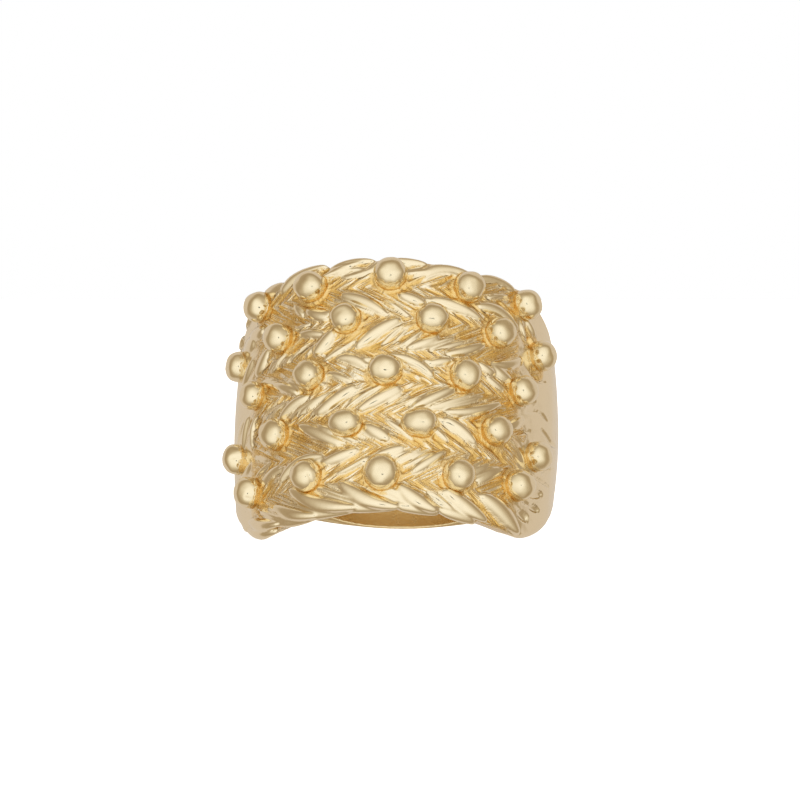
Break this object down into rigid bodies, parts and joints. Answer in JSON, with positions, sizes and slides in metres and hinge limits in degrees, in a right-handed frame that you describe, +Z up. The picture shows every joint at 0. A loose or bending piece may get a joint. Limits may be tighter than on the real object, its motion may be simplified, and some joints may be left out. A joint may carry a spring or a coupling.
{
  "type": "keeper ring",
  "caption": "Broad cast keeper ring: a wide head with plaits and staggered rows of round studs that narrows to a plain shank behind.",
  "frame": {"origin": "middle of the ring's outline seen from above, on the surface that the ring rests on", "axes": "+Z up; the wide head faces -Y; the finger hole's axis leans from +Z toward +Y, as the ring leans when it rests on its side"},
  "size_m": [0.0258, 0.0266, 0.0216],
  "materials": {
    "gold": "worn polish on yellow gold, duller and browner in the hollows of the relief"
  },
  "bodies": {
    "root": {"ring": "gold"}
  },
  "joints": []
}
